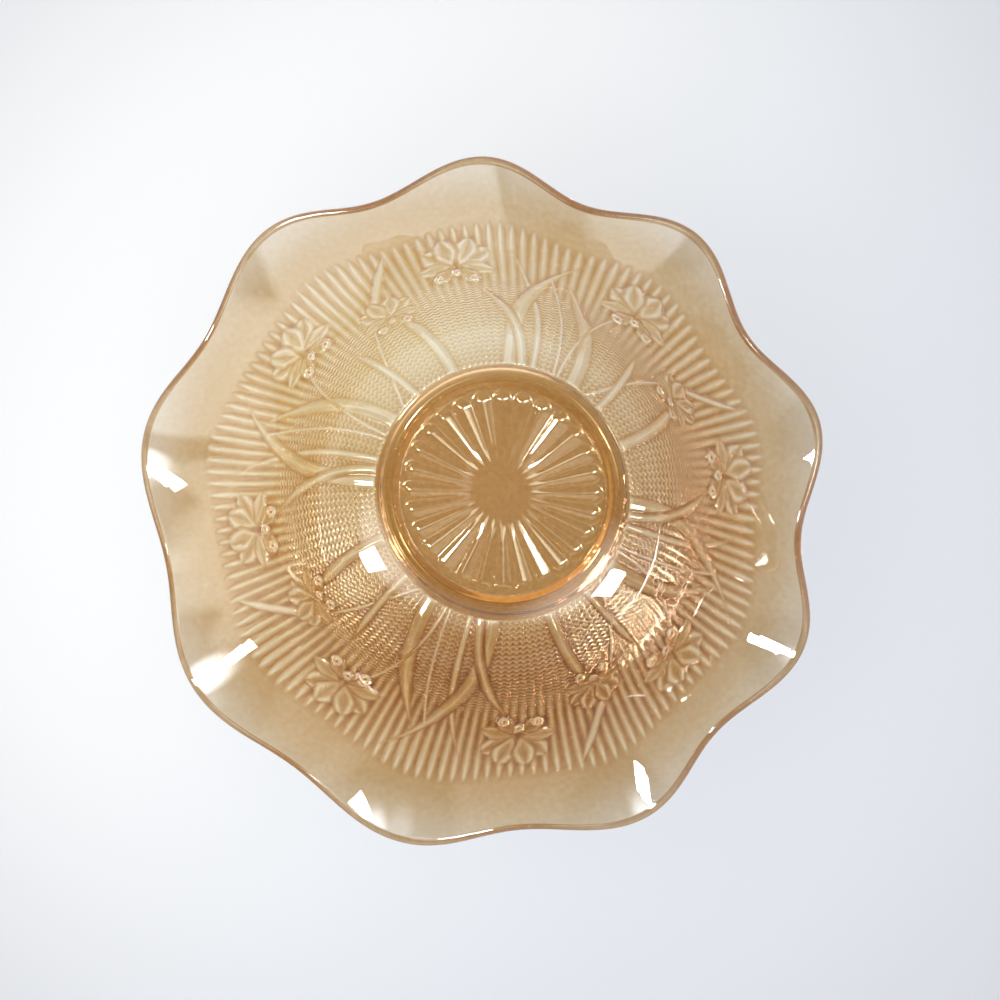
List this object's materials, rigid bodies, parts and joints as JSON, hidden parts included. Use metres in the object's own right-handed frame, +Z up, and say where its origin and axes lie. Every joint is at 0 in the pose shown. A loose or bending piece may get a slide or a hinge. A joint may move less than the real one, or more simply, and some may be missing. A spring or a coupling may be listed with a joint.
{
  "type": "ruffled glass candy dish",
  "caption": "Shallow pressed-glass dish with a flared, ruffled rim, a low foot ring and an iridescent marigold lustre; holds sweets or fruit.",
  "frame": {"origin": "on the resting plane, under the centre of the foot ring", "axes": "+Z up through the centre of the foot; X and Y level, with the ruffle's first lobe just round from +X towards +Y"},
  "size_m": [0.2426, 0.2453, 0.0696],
  "materials": {
    "pressed_glass": "clear pressed glass, fire-polished, smooth inside and moulded in relief outside",
    "lustre_inside": "thin transparent marigold lustre, glossy, with faint pink and lilac interference colours",
    "lustre_outside": "thin transparent marigold lustre over the moulded relief, glossy"
  },
  "bodies": {
    "root": {"glass_body": "pressed_glass", "inner_lustre": "lustre_inside", "outer_lustre": "lustre_outside"}
  },
  "joints": []
}
